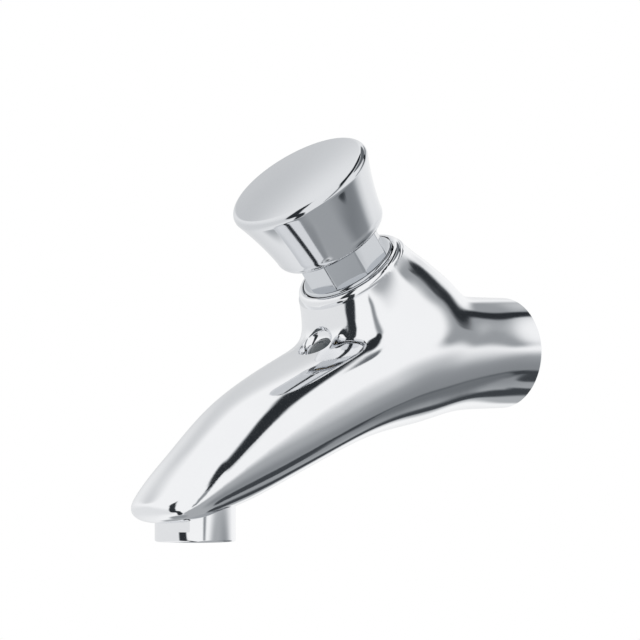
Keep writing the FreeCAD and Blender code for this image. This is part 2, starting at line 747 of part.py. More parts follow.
def collect():
    """Every finished piece under the name of its node."""
    pieces = [tap_body(), index_plug(), bonnet()]
    pieces += bonnet_fittings()
    pieces.append(timing_cylinder())
    pieces += cartridge_fittings()
    pieces += plunger_pieces()
    pieces += [valve_nut(), return_spring(), push_knob(), stem(), jam_nut()]
    pieces += inlet_pieces()
    pieces += aerator_pieces()
    return {piece.Label: piece for piece in pieces}


def check(pieces):
    for thing in doc.Objects:
        if "Invalid" in thing.State or "Error" in thing.State:
            raise RuntimeError("%s did not build: %s" % (thing.Name, thing.State))
    for label, piece in pieces.items():
        shape = piece.Shape
        if shape.isNull() or not shape.isValid():
            raise RuntimeError("%s has no valid shape" % label)
        print("%-18s solids %d  volume %9.1f mm3" % (label, len(shape.Solids), shape.Volume))


def export(pieces):
    os.makedirs("parts", exist_ok=True)
    for label, piece in pieces.items():
        shape = piece.Shape
        if len(shape.Solids) == 1:
            shape = shape.Solids[0]
        shape.exportStep("parts/%s.step" % label)


PIECES = collect()
doc.recompute()
check(PIECES)
export(PIECES)
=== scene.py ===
"""Looks of a wall-mounted push tap: chrome-plated casting, knob, bonnet and aerator in a plain studio."""
import json
import math

import bmesh
import bpy
import numpy as np
from bpy.props import FloatProperty, FloatVectorProperty, PointerProperty
from mathutils import Matrix, Vector


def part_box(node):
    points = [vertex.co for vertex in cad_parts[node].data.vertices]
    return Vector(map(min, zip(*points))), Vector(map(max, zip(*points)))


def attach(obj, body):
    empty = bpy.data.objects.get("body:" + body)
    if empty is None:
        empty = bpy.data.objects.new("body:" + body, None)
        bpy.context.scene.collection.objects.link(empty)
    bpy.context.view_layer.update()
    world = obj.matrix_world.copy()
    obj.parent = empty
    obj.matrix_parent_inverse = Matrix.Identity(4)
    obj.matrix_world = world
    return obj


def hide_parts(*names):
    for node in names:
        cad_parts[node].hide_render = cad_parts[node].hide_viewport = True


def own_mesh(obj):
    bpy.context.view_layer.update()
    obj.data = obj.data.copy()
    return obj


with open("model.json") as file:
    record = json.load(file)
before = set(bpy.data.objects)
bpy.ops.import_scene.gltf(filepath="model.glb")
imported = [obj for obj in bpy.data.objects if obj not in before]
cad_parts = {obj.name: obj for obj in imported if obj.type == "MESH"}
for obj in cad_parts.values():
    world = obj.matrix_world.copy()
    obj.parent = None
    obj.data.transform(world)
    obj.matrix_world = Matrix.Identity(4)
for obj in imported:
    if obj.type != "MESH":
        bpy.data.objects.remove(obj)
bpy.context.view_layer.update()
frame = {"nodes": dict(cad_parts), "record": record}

bl_info = {
    "name": "Wall-mounted push tap",
    "version": (1, 0, 0),
    "blender": (4, 5, 0),
    "location": "View3D > Sidebar > Tap",
    "description": "Builds the visible pieces of a wall-mounted push tap around its frame",
    "category": "Object",
}

MM = 0.001

# The neck's axis and mouth come from the frame's joints; its level and the end radii are in mm
JOINTS = {joint["name"]: joint for joint in frame["record"]["behaviour"]["joints"]}
NECK_AXIS = Vector(JOINTS["button_turn"]["axis"]).normalized()
NECK_SIDE = Vector((0, NECK_AXIS.z, -NECK_AXIS.y))
MOUTH = Vector(JOINTS["button_turn"]["pos_m"]) / MM
MOUTH_LEVEL = 52.0
MOUTH_RADIUS = 17.9
WALL_RADIUS = 17.0

# The index looks up and forwards by this many degrees, its rim this far in mm outside the plug's middle
INDEX_TILT = 50.0
INDEX_LIFT = 0.85

# Raised seat round the index in mm: radius, level, how far it reaches down into the body, the rounding
# of its edge and the width of its fillet
SEAT_RADIUS = 8.0
SEAT_LEVEL = 1.1
SEAT_DEPTH = 5.0
SEAT_ROUND = 3.0
SEAT_FILLET = 4.5

# Upright sections of the spout in mm, wall to nose: distance from the wall, top, bottom, half width
# and the powers of the outline's upper and lower half, where 2 is an ellipse and more is squarer
SPOUT = [
    (0.0, 18.0, -17.6, 17.9, 2.0, 2.0),
    (14.0, 17.9, -18.0, 18.2, 2.0, 2.0),
    (30.0, 17.9, -19.2, 19.6, 2.2, 2.2),
    (46.0, 16.8, -22.6, 21.0, 2.3, 2.3),
    (62.0, 11.6, -25.4, 21.8, 2.7, 2.5),
    (78.0, 3.7, -29.3, 21.9, 3.15, 2.7),
    (94.0, -3.7, -35.5, 21.0, 3.2, 2.7),
    (108.0, -9.9, -41.6, 19.6, 2.7, 2.6),
    (121.0, -17.4, -47.2, 18.0, 2.3, 2.4),
    (134.0, -28.6, -51.4, 16.3, 2.1, 2.3),
]

# The nose: the tip's distance from the wall and level in mm, and the power of its rounding. Each value of
# the last section goes on in its own direction and levels off at its own rate, in the rows' order
NOSE_START = SPOUT[-1][0]
NOSE_TIP = 152.15
NOSE_LEVEL = -47.2
NOSE_POWER = 2.6
NOSE_RATES = (0.05, 1.6, 3.2, 5.0, 5.0)

# The outlet's face: a plane through this point in mm, falling towards the nose by this many degrees, and
# the rounding of its edge in mm
FACE_POINT = (0.0, -142.0, -51.4)
FACE_SLOPE = 12.3
FACE_ROUND = 2.5

# Sections of the neck in mm: depth below the mouth, half width, rear and front reach, and the power
# of the rear and of the front half
NECK = [
    (0.0, 17.9, 17.9, 17.9, 2.0, 2.0),
    (5.0, 17.7, 19.4, 19.5, 2.1, 2.3),
    (12.0, 18.0, 22.4, 22.5, 2.2, 2.9),
    (20.0, 18.8, 25.8, 26.3, 2.2, 3.1),
    (29.0, 19.4, 28.8, 28.2, 2.2, 2.6),
    (38.0, 19.6, 30.8, 28.8, 2.2, 2.2),
]

# Inside the spout the neck ends at this depth in mm, in a rounding this wide
NECK_END = 36.0
NECK_END_ROUND = 14.0

# Evening out of the casting's mesh: rounds, last rounds onto the form alone, and the longest move in mm.
# Points this near in mm to the wall or the mouth belong to flat ends, which stay
SETTLE_ROUNDS = 8
LAST_ROUNDS = 4
LONGEST_MOVE = 0.8
END_ZONE = 0.6

# Bores in mm as corners of radius and level: neck's and bonnet's above the valve well's floor, inlet's from
# the wall, outlet's below the inlet's level
NECK_BORE = [(0, 0.5), (7, 0.5), (7, 12), (12, 12), (12, 38), (13.2, 38), (13.2, 49.6), (16.0, 49.6),
             (16.0, 60), (0, 60)]
INLET_BORE = [(0, -1), (9.9, -1), (9.9, 0.0), (9.32, 0.6), (9.32, 10.4), (9.02, 10.4), (9.02, 13), (5.6, 13),
              (5.6, 22), (0, 22)]
OUTLET_BORE = [(0, 38.5), (6.6, 38.5), (6.6, 41.4), (11.5, 41.4), (11.5, 46.4), (12.15, 46.4), (12.15, 66),
               (0, 66)]
BONNET_BORE = [(0, 39), (7, 39), (7, 44.8), (7.7, 44.8), (7.7, 45.9), (7, 45.9), (7, 60.4), (4.5, 60.4),
               (4.5, 62), (0, 62)]

# Bonnet's head: number of flats, then in mm the radius to the corners, foot, top, radius and height of the
# chamfer and rounding of the corners, then its turn in degrees
HEAD_SIDES = 8
HEAD_RADIUS = 13.9
HEAD_FOOT = 51.5
HEAD_TOP = 61.6
HEAD_CROWN = 12.9
HEAD_CHAMFER = 1.0
HEAD_CORNER = 0.3
HEAD_TURN = 24.0

# Knob in mm: level of its face
KNOB_TOP = 85.79

# Aerator ring in mm below the inlet's level: its end, and its two wrench flats as distance from the axis,
# middle level, depth, length and height, with their turn in degrees
AERATOR_END = 57.7
FLAT_REACH = 11.0
FLAT_LEVEL = 50.4
FLAT_DEPTH = 4.0
FLAT_LENGTH = 26.0
FLAT_HEIGHT = 8.4
FLAT_TURN = 71.6

# Return spring in mm: wire, radius of the coil to the wire's middle, and turns
SPRING_WIRE = 1.1
SPRING_RADIUS = 6.5
SPRING_TURNS = 6.0

# Perforated plates in mm: top and foot below the inlet's level, hole radius, radii of the two hole circles
PLATES = {
    "jet_screen": (50.0, 51.2, 0.9, 3.4, 6.8),
    "outlet_grid": (52.4, 55.4, 1.3, 3.7, 7.4),
}
PLATE_RADIUS = 10.1
INNER_HOLES = 6
OUTER_HOLES = 12


def linear(code):
    """Linear colour of an sRGB hex code such as '#C8CBD0'."""
    parts = [int(code[place:place + 2], 16) / 255 for place in (1, 3, 5)]
    return tuple(part / 12.92 if part <= 0.04045 else ((part + 0.055) / 1.055) ** 2.4 for part in parts)


# Sizes and colours that a user may change

class CastingSizes(bpy.types.PropertyGroup):
    voxel: FloatProperty(name="Voxel", description="Mesh size of the casting in mm", default=1.0, min=0.5)
    blend: FloatProperty(name="Blend", description="Softness of the neck's foot in mm", default=7.0, min=1)
    wall_round: FloatProperty(name="Wall rounding", description="Radius of the rim at the wall in mm",
                              default=3.2, min=0.5)
    lip_round: FloatProperty(name="Lip rounding", description="Radius of the mouth's lip in mm",
                             default=1.8, min=0.2)


class FinishColours(bpy.types.PropertyGroup):
    chrome: FloatVectorProperty(name="Chrome", description="Chrome plate", subtype="COLOR", size=3,
                                default=linear("#F2F3F5"), min=0, max=1)
    # the knob's chrome is the casting's chrome in a darker tone with the same roughness: painted shade
    knob: FloatVectorProperty(name="Knob", description="Chrome plate of the knob", subtype="COLOR",
                              size=3, default=linear("#DFE1E4"), min=0, max=1)
    # the bonnet's chrome is the casting's chrome in a darker tone: painted shade under the knob's brim
    bonnet: FloatVectorProperty(name="Bonnet", description="Chrome plate of the bonnet, darker as painted shade under the knob", subtype="COLOR",
                                size=3, default=linear("#D3D6DA"), min=0, max=1)
    brass: FloatVectorProperty(name="Brass", description="Bare machined brass", subtype="COLOR", size=3,
                               default=linear("#D9BC7C"), min=0, max=1)
    steel: FloatVectorProperty(name="Steel", description="Stainless steel", subtype="COLOR", size=3,
                               default=linear("#C4C5C6"), min=0, max=1)
    acetal: FloatVectorProperty(name="Acetal", description="Natural acetal mouldings", subtype="COLOR",
                                size=3, default=linear("#DEDDD6"), min=0, max=1)
    nitrile: FloatVectorProperty(name="Nitrile", description="Nitrile rubber seals", subtype="COLOR", size=3,
                                 default=linear("#1C1C1E"), min=0, max=1)
    index: FloatVectorProperty(name="Index", description="Smoked plastic index", subtype="COLOR", size=3,
                               default=linear("#565F64"), min=0, max=1)


class StudioSettings(bpy.types.PropertyGroup):
    azimuth: FloatProperty(name="Azimuth", description="Camera's turn round the tap in degrees",
                           default=47.35)
    elevation: FloatProperty(name="Elevation", description="Camera's height angle in degrees", default=-1.84)
    distance: FloatProperty(name="Distance", description="Camera distance", default=1.0, unit="LENGTH")
    lens: FloatProperty(name="Lens", description="Focal length in mm on a 36 mm sensor", default=182.9)
    aim: FloatVectorProperty(name="Aim", description="Point that the camera looks at", size=3,
                             default=(0.0, -0.083, 0.00909), unit="LENGTH")


# Mesh helpers

def neck_matrix():
    """Frame on the neck's axis: Z outwards, levels in mm above the valve well's floor."""
    origin = (MOUTH - NECK_AXIS * MOUTH_LEVEL) * MM
    turn = Matrix((Vector((1, 0, 0)), NECK_SIDE, NECK_AXIS)).transposed().to_4x4()
    return Matrix.Translation(origin) @ turn @ Matrix.Scale(MM, 4)


def outlet_matrix():
    """Frame on the outlet's axis: Z downwards from the inlet's level, mm."""
    low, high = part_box("outlet_grid")
    middle = (low[1] + high[1]) / 2
    return Matrix.Translation((0, middle, 0)) @ Matrix.Rotation(math.pi, 4, "X") @ Matrix.Scale(MM, 4)


def inlet_matrix():
    """Frame on the inlet's axis: Z from the wall into the body, mm."""
    return Matrix.Rotation(math.pi / 2, 4, "X") @ Matrix.Scale(MM, 4)


def index_matrix():
    """Frame on the index's axis, from the middle of its own node."""
    low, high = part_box("index_plug")
    middle = Matrix.Translation((Vector(low) + Vector(high)) / 2)
    turn = Matrix.Rotation(math.radians(INDEX_TILT), 4, "X")
    return middle @ turn @ Matrix.Translation((0, 0, INDEX_LIFT * MM)) @ Matrix.Scale(MM, 4)


def linked(name, data):
    """New object with this data in the current collection."""
    thing = bpy.data.objects.new(name, data)
    bpy.context.collection.objects.link(thing)
    return thing


def sharpen(bm, angle):
    """Turn all faces outwards and smooth them, with creases left sharp past an angle."""
    bmesh.ops.recalc_face_normals(bm, faces=bm.faces)
    limit = math.radians(angle)
    for face in bm.faces:
        face.smooth = True
    for edge in bm.edges:
        edge.smooth = len(edge.link_faces) == 2 and edge.calc_face_angle(0.0) < limit


def object_from(bm, name, angle=35.0):
    """Object with this mesh, which is used up."""
    sharpen(bm, angle)
    mesh = bpy.data.meshes.new(name)
    bm.to_mesh(mesh)
    bm.free()
    return linked(name, mesh)


def through(start, middle, end, steps):
    """Points of the circle through three points, without its first point."""
    (ax, ay), (bx, by), (cx, cy) = start, middle, end
    d = 2 * (ax * (by - cy) + bx * (cy - ay) + cx * (ay - by))
    a2, b2, c2 = ax * ax + ay * ay, bx * bx + by * by, cx * cx + cy * cy
    ux = (a2 * (by - cy) + b2 * (cy - ay) + c2 * (ay - by)) / d
    uy = (a2 * (cx - bx) + b2 * (ax - cx) + c2 * (bx - ax)) / d
    radius = math.hypot(ax - ux, ay - uy)
    first = math.atan2(ay - uy, ax - ux)
    mid = (math.atan2(by - uy, bx - ux) - first + math.pi) % (2 * math.pi) - math.pi
    last = (math.atan2(cy - uy, cx - ux) - first + math.pi) % (2 * math.pi) - math.pi
    if mid * last < 0:
        last += math.copysign(2 * math.pi, mid)
    turns = [first + last * (step + 1) / steps for step in range(steps)]
    return [(ux + radius * math.cos(turn), uy + radius * math.sin(turn)) for turn in turns]


def bridge(bm, first, second):
    """Faces between two rings of points, either of which may be a single point."""
    count = max(len(first), len(second))
    if count == 1:
        return
    for step in range(count):
        ahead = (step + 1) % count
        corners = (first[step % len(first)], first[ahead % len(first)],
                   second[ahead % len(second)], second[step % len(second)])
        bm.faces.new(tuple(dict.fromkeys(corners)))


def lathe(name, profile, matrix, segments=160, angle=35.0):
    """Closed solid turned from (radius, level) corners."""
    bm = bmesh.new()
    turns = [2 * math.pi * step / segments for step in range(segments)]
    rings = []
    for radius, level in profile:
        ring = [(radius * math.cos(turn), radius * math.sin(turn)) for turn in turns] if radius else [(0, 0)]
        rings.append([bm.verts.new((*place, level)) for place in ring])
    for first, second in zip(rings, rings[1:] + rings[:1]):
        bridge(bm, first, second)
    bm.transform(matrix)
    return object_from(bm, name, angle)


def prism(name, sides, radius, low, high, turn, rounding, matrix):
    """Upright prism with its corners rounded; radius is to the corners."""
    bm = bmesh.new()
    rings = []
    angles = [math.radians(turn + 360 * side / sides) for side in range(sides)]
    for level in (low, high):
        rings.append([bm.verts.new((radius * math.cos(angle), radius * math.sin(angle), level))
                      for angle in angles])
    bridge(bm, *rings)
    bm.faces.new(rings[0])
    bm.faces.new(rings[1])
    upright = [edge for edge in bm.edges if edge.verts[0].co.z != edge.verts[1].co.z]
    bmesh.ops.bevel(bm, geom=upright, offset=rounding, segments=4, profile=0.5, affect="EDGES")
    bm.transform(matrix)
    return object_from(bm, name)


def boolean(thing, tool, kind):
    """Apply one exact boolean and drop the tool."""
    modifier = thing.modifiers.new("cut", "BOOLEAN")
    modifier.operation = kind
    modifier.solver = "EXACT"
    modifier.object = tool
    bake_modifiers(thing)
    bpy.data.objects.remove(tool, do_unlink=True)


def bake_modifiers(thing):
    """Turn the evaluated mesh into the object's own and drop its modifiers."""
    graph = bpy.context.evaluated_depsgraph_get()
    graph.update()
    mesh = bpy.data.meshes.new_from_object(thing.evaluated_get(graph))
    old = thing.data
    thing.modifiers.clear()
    thing.data = mesh
    if old.users == 0:
        bpy.data.meshes.remove(old)


def resharpen(thing, angle=35.0):
    """Join doubled points that a cut left and set the creases again."""
    bm = bmesh.new()
    bm.from_mesh(thing.data)
    bmesh.ops.remove_doubles(bm, verts=bm.verts, dist=0.5e-6)
    sharpen(bm, angle)
    bm.to_mesh(thing.data)
    bm.free()


def finish_piece(piece, body, slot, node, material=None):
    """Put a piece on its body in place of its node, with its material where it has none of its own."""
    if material:
        piece.data.materials.clear()
        piece.data.materials.append(material)
    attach(piece, body)
    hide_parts(node)


# Materials

def add(tree, kind, links=None, **settings):
    """One node with its settings and its links from other sockets."""
    node = tree.nodes.new(kind)
    for key, setting in settings.items():
        if hasattr(node, key):
            setattr(node, key, setting)
        else:
            node.inputs[key.replace("_", " ")].default_value = setting
    for key, socket in (links or {}).items():
        tree.links.new(socket, node.inputs[key])
    return node


def new_material(name):
    """New material with its tree and its surface node."""
    material = bpy.data.materials.new(name)
    material.use_nodes = True
    return material, material.node_tree, material.node_tree.nodes["Principled BSDF"]


def grained(name, tone, dark, scale, rough, detail=3.0, metallic=0.0, relief=0.0):
    """Material whose tone and roughness follow one noise, the same for all pieces that have it: dark is the
    darkest grain's share of the tone, scale the grains in a metre and relief their height in mm."""
    if name in bpy.data.materials:
        return bpy.data.materials[name]
    material, tree, surface = new_material(name)
    surface.inputs["Metallic"].default_value = metallic
    where = add(tree, "ShaderNodeTexCoord")
    grain = add(tree, "ShaderNodeTexNoise", {"Vector": where.outputs["Object"]}, Scale=scale, Detail=detail)
    ramp = add(tree, "ShaderNodeValToRGB", {"Fac": grain.outputs["Fac"]})
    tone = Vector(tone)
    ramp.color_ramp.elements[0].color = (*(tone * dark), 1)
    ramp.color_ramp.elements[1].color = (*tone, 1)
    tree.links.new(ramp.outputs["Color"], surface.inputs["Base Color"])
    haze = add(tree, "ShaderNodeMapRange", {"Value": grain.outputs["Fac"]}, To_Min=rough[0], To_Max=rough[1])
    tree.links.new(haze.outputs["Result"], surface.inputs["Roughness"])
    if relief:
        bump = add(tree, "ShaderNodeBump", {"Height": grain.outputs["Fac"]}, Strength=0.3,
                   Distance=relief * MM)
        tree.links.new(bump.outputs["Normal"], surface.inputs["Normal"])
    return material


def chrome_plate(name="chrome_plate_polished", tone=None):
    """Bright nickel and chrome plate: a cold mirror with a faint buffing haze in patches some 12 mm wide."""
    return grained(name, tone or bpy.context.scene.tap_colours.chrome, 0.97, 80.0, (0.05, 0.1), metallic=1.0)


def machined_brass():
    """Free-cutting brass left as turned: warm, with a fine grain of tool marks."""
    return grained("brass_machined", bpy.context.scene.tap_colours.brass, 0.72, 350.0, (0.22, 0.38),
                   detail=4.0, metallic=1.0)


def stainless_steel():
    """Turned stainless steel: grey, finely brushed."""
    return grained("stainless_steel_turned", bpy.context.scene.tap_colours.steel, 0.8, 900.0, (0.2, 0.35),
                   metallic=1.0)


def acetal():
    """Injection-moulded acetal: milky off-white, satin."""
    return grained("acetal_moulded", bpy.context.scene.tap_colours.acetal, 0.86, 1000 / 0.8, (0.35, 0.5),
                   relief=0.02)


def nitrile():
    """Moulded nitrile rubber: near black, dull, slightly dusty."""
    return grained("nitrile_rubber_moulded", bpy.context.scene.tap_colours.nitrile, 0.86, 1000 / 0.6,
                   (0.55, 0.75), relief=0.03)


def smoked_plastic():
    """Glossy smoked acrylic of the index."""
    return grained("acrylic_smoked_glossy", bpy.context.scene.tap_colours.index, 0.86, 1000 / 3.0,
                   (0.06, 0.12), relief=0.005)


# Finish by the record's slot, and slot by node
MAKERS = {"brass": machined_brass, "stainless": stainless_steel, "acetal": acetal, "nitrile": nitrile,
          "index_plastic": smoked_plastic, "chrome": chrome_plate}
SLOTS = {entry["node"]: entry["material_slot"] for entry in frame["record"]["subparts"]}


# The casting's form as a smooth rule

def curve_table(rows):
    """Natural cubic through the rows' values, column by column."""
    rows = np.array(rows, float)
    knots = rows[:, 0]
    gaps = np.diff(knots)
    count = len(knots)
    bends = np.zeros((count, rows.shape[1] - 1))
    system = np.zeros((count, count))
    system[0, 0] = system[-1, -1] = 1
    for index in range(1, count - 1):
        system[index, index - 1] = gaps[index - 1]
        system[index, index] = 2 * (gaps[index - 1] + gaps[index])
        system[index, index + 1] = gaps[index]
    for column in range(rows.shape[1] - 1):
        slopes = np.diff(rows[:, column + 1]) / gaps
        right = np.zeros(count)
        right[1:-1] = 6 * np.diff(slopes)
        bends[:, column] = np.linalg.solve(system, right)

    def read(places):
        """Values of all columns at some places, held past the ends."""
        places = np.asarray(places, float)
        inside = np.clip(places, knots[0], knots[-1])
        spot = np.clip(np.searchsorted(knots, inside) - 1, 0, count - 2)
        gap = gaps[spot][:, None]
        left = (knots[spot + 1] - inside)[:, None]
        right = (inside - knots[spot])[:, None]
        low, high = rows[spot, 1:], rows[spot + 1, 1:]
        bend_low, bend_high = bends[spot], bends[spot + 1]
        return (bend_low * left ** 3 / (6 * gap) + bend_high * right ** 3 / (6 * gap)
                + (low / gap - bend_low * gap / 6) * left + (high / gap - bend_high * gap / 6) * right)

    return read


def slope_of(field, points, step):
    """Slope of a field at points, by central differences."""
    slope = np.zeros_like(points)
    for axis in range(3):
        shift = np.zeros(3)
        shift[axis] = step
        slope[:, axis] = (field(points + shift) - field(points - shift)) / (2 * step)
    return slope


def soft_max(first, second, width):
    """Larger of two fields with the edge between them rounded."""
    overlap = np.maximum(width - np.abs(first - second), 0) / width
    return np.maximum(first, second) + overlap ** 3 * width / 6


def soft_min(first, second, width):
    """Smaller of two fields with the corner between them filled."""
    overlap = np.maximum(width - np.abs(first - second), 0) / width
    return np.minimum(first, second) - overlap ** 3 * width / 6


class Casting:
    """Field in mm that is zero on the outside of spout, neck and seat. A share is 1 on the skin."""

    def __init__(self, blend):
        self.spout = curve_table(SPOUT)
        self.neck = curve_table(NECK)
        self.blend = blend
        self.index = np.array(index_matrix().inverted() @ Matrix.Scale(MM, 4))
        step = 0.05
        edge = self.spout(np.array([NOSE_START, NOSE_START - step]))
        self.edge = edge[0]
        self.slope = (edge[0] - edge[1]) / step

    def section(self, away):
        """Top, bottom, half width and both powers at distances from the wall, closing in a round nose."""
        top, bottom, half, upper, lower = self.spout(away).T
        beyond = np.maximum(away - NOSE_START, 0)
        share = np.clip(beyond / (NOSE_TIP - NOSE_START), 0, 0.99999)
        closing = (1 - share ** NOSE_POWER) ** (1 / NOSE_POWER)
        in_nose = away > NOSE_START
        rates = np.array(NOSE_RATES)
        levelled = (1 - np.exp(-share[:, None] * rates)) / rates
        onward = self.edge + self.slope * (NOSE_TIP - NOSE_START) * levelled
        top = np.where(in_nose, NOSE_LEVEL + (onward[:, 0] - NOSE_LEVEL) * closing, top)
        bottom = np.where(in_nose, NOSE_LEVEL + (onward[:, 1] - NOSE_LEVEL) * closing, bottom)
        half = np.where(in_nose, onward[:, 2] * closing, half)
        return top, bottom, half, upper, lower

    def spout_share(self, points):
        """Share of the way out to the spout's skin."""
        away = np.clip(-points[:, 1], 0, NOSE_TIP)
        top, bottom, half, upper, lower = self.section(away)
        middle = (top + bottom) / 2
        height = np.maximum((top - bottom) / 2, 0.05)
        half = np.maximum(half, 0.05)
        across = np.abs(points[:, 0] / half) + 1e-6
        rise = (points[:, 2] - middle) / height
        power = np.where(rise > 0, upper, lower)
        upward = np.abs(rise) + 1e-6
        return (across ** power + upward ** power) ** (1 / power)

    def neck_share(self, points):
        """Share of the way out to the neck's skin, without its ends."""
        offset = points - np.array(MOUTH)
        depth = np.clip(-offset @ np.array(NECK_AXIS), 0, NECK[-1][0])
        half, rear, front, rear_power, front_power = self.neck(depth).T
        across = np.abs(points[:, 0] / half) + 1e-6
        along = (offset @ np.array(NECK_SIDE) - (rear - front) / 2) / ((rear + front) / 2)
        power = np.where(along > 0, rear_power, front_power)
        return (across ** power + (np.abs(along) + 1e-6) ** power) ** (1 / power)

    @staticmethod
    def distance(share, points):
        """First-order distance from the skin of a share."""
        slope = np.linalg.norm(slope_of(share, points, step=0.02), axis=1)
        return (share(points) - 1) / np.maximum(slope, 1e-4)

    def __call__(self, points):
        tilt = math.radians(FACE_SLOPE)
        under = (points - np.array(FACE_POINT)) @ np.array([0, math.sin(tilt), -math.cos(tilt)])
        spout = soft_max(self.distance(self.spout_share, points), under, FACE_ROUND)
        depth = -(points - np.array(MOUTH)) @ np.array(NECK_AXIS)
        neck = soft_max(self.distance(self.neck_share, points), depth - NECK_END, NECK_END_ROUND)
        around = points @ self.index[:3, :3].T + self.index[:3, 3]
        radius = np.hypot(around[:, 0], around[:, 1])
        seat = soft_max(radius - SEAT_RADIUS, around[:, 2] - SEAT_LEVEL, SEAT_ROUND)
        seat = np.maximum(seat, -around[:, 2] - SEAT_DEPTH)
        return soft_min(soft_min(spout, neck, self.blend), seat, SEAT_FILLET)


def tube_mesh(name, rings):
    """Closed tube through rings of equal count, capped flat."""
    bm = bmesh.new()
    rows = [[bm.verts.new(point) for point in ring] for ring in rings]
    for first, second in zip(rows, rows[1:]):
        bridge(bm, first, second)
    bm.faces.new(rows[0])
    bm.faces.new(rows[-1])
    return object_from(bm, name)


def raw_casting(form):
    """Rough union of spout and neck, made one skin by remeshing."""
    turns = np.linspace(0, 2 * np.pi, 72, endpoint=False)
    aways = np.concatenate([np.linspace(0, NOSE_START, 60), NOSE_TIP - (NOSE_TIP - NOSE_START)
                            * (1 - np.sin(np.linspace(0, np.pi / 2, 16)[1:-1]))])
    tops, bottoms, halves, *_ = form.section(aways)
    rings = []
    for away, top, bottom, half in zip(aways, tops, bottoms, halves):
        rings.append([(half * math.cos(turn), -away, (top + bottom) / 2 + (top - bottom) / 2 * math.sin(turn))
                      for turn in turns])
    spout = tube_mesh("raw_spout", rings)
    depths = np.linspace(0, NECK[-1][0], 30)
    rings = []
    for depth, (half, rear, front, *_) in zip(depths, form.neck(depths)):
        centre = MOUTH - NECK_AXIS * depth + NECK_SIDE * (rear - front) / 2
        rings.append([centre + Vector((half * math.cos(turn), 0, 0))
                      + NECK_SIDE * (rear + front) / 2 * math.sin(turn) for turn in turns])
    neck = tube_mesh("raw_neck", rings)
    boolean(spout, neck, "UNION")
    remesh = spout.modifiers.new("skin", "REMESH")
    remesh.mode = "VOXEL"
    remesh.voxel_size = bpy.context.scene.tap_casting.voxel
    bake_modifiers(spout)
    return spout


def settle(thing, form):
    """Even out the skin's mesh and lay it exactly on the form, all but its flat ends at wall and mouth."""
    mesh = thing.data
    points = np.empty(len(mesh.vertices) * 3)
    mesh.vertices.foreach_get("co", points)
    points = points.reshape(-1, 3)
    edges = np.empty(len(mesh.edges) * 2, int)
    mesh.edges.foreach_get("vertices", edges)
    starts, ends = edges.reshape(-1, 2).T
    links = np.zeros(len(points))
    np.add.at(links, starts, 1)
    np.add.at(links, ends, 1)

    def project(points, times):
        """Move points along the form's slope onto its skin."""
        for _ in range(times):
            value = form(points)
            slope = slope_of(form, points, step=0.05)
            size = np.maximum(np.linalg.norm(slope, axis=1), 0.2)
            move = np.clip(value / size, -LONGEST_MOVE, LONGEST_MOVE) / size
            points = points - slope * move[:, None]
        return points

    on_wall = points[:, 1] > -END_ZONE
    on_mouth = -(points - np.array(MOUTH)) @ np.array(NECK_AXIS) < END_ZONE
    free = ~(on_wall | on_mouth)
    for _ in range(SETTLE_ROUNDS):
        sums = np.zeros_like(points)
        np.add.at(sums, starts, points[ends])
        np.add.at(sums, ends, points[starts])
        relaxed = points + 0.5 * (sums / links[:, None] - points)
        points = np.where(free[:, None], relaxed, points)
        points[free] = project(points[free], 1)
    points[free] = project(points[free], LAST_ROUNDS)
    mesh.vertices.foreach_set("co", points.ravel())
    mesh.update()


class TAP_OT_casting(bpy.types.Operator):
    """Cast body: one smooth skin over spout and neck, then its faces and bores"""
    bl_idname = "tap.casting"
    bl_label = "Cast body"

    def execute(self, context):
        form = Casting(context.scene.tap_casting.blend)
        body = raw_casting(form)
        settle(body, form)
        body.name = "casting"
        body.data.name = "casting"
        body.data.transform(Matrix.Scale(MM, 4))
        resharpen(body, 40)
        for cutter in casting_cutters():
            boolean(body, cutter, "DIFFERENCE")
        resharpen(body, 32)
        finish_piece(body, "root", "chrome", "tap_body", chrome_plate())
        return {"FINISHED"}


def casting_cutters():
    """Turned tools for the rounded rims and the bores, in the order they are used. Their corners outside the
    body only have to clear it."""
    neck = neck_matrix()
    inlet = inlet_matrix()
    lip = bpy.context.scene.tap_casting.lip_round
    rim = bpy.context.scene.tap_casting.wall_round
    # everything outside the rounded lip and above the mouth
    under_lip = MOUTH_LEVEL - 2.4
    lip_round = [(MOUTH_RADIUS - lip + lip * math.sin(turn), MOUTH_LEVEL - lip + lip * math.cos(turn))
                 for turn in np.linspace(0, math.pi / 2, 9)]
    yield lathe("lip_tool", [(0, MOUTH_LEVEL), *lip_round, (MOUTH_RADIUS, under_lip), (26, under_lip),
                             (26, 62), (0, 62)], neck)
    wall_round = [(WALL_RADIUS - rim + rim * math.sin(turn), rim - rim * math.cos(turn))
                  for turn in np.linspace(0, math.pi / 2, 13)]
    yield lathe("wall_tool", [(0, 0), *wall_round, (24, rim), (24, -4), (0, -4)], inlet)
    yield lathe("neck_bore", NECK_BORE, neck)
    # the index's hole and the dish round it; above the dish the tool keeps clear of the neck
    dish = through((4.3, -0.15), (5.3, 0.45), (6.1, 1.8), 8)
    yield lathe("index_tool", [(0, -1.7), (4.3, -1.7), (4.3, -0.15), *dish, (4.7, 9.0), (0, 9.0)],
                index_matrix(), 96)
    yield lathe("inlet_bore", INLET_BORE, inlet)
    yield lathe("outlet_bore", OUTLET_BORE, outlet_matrix())


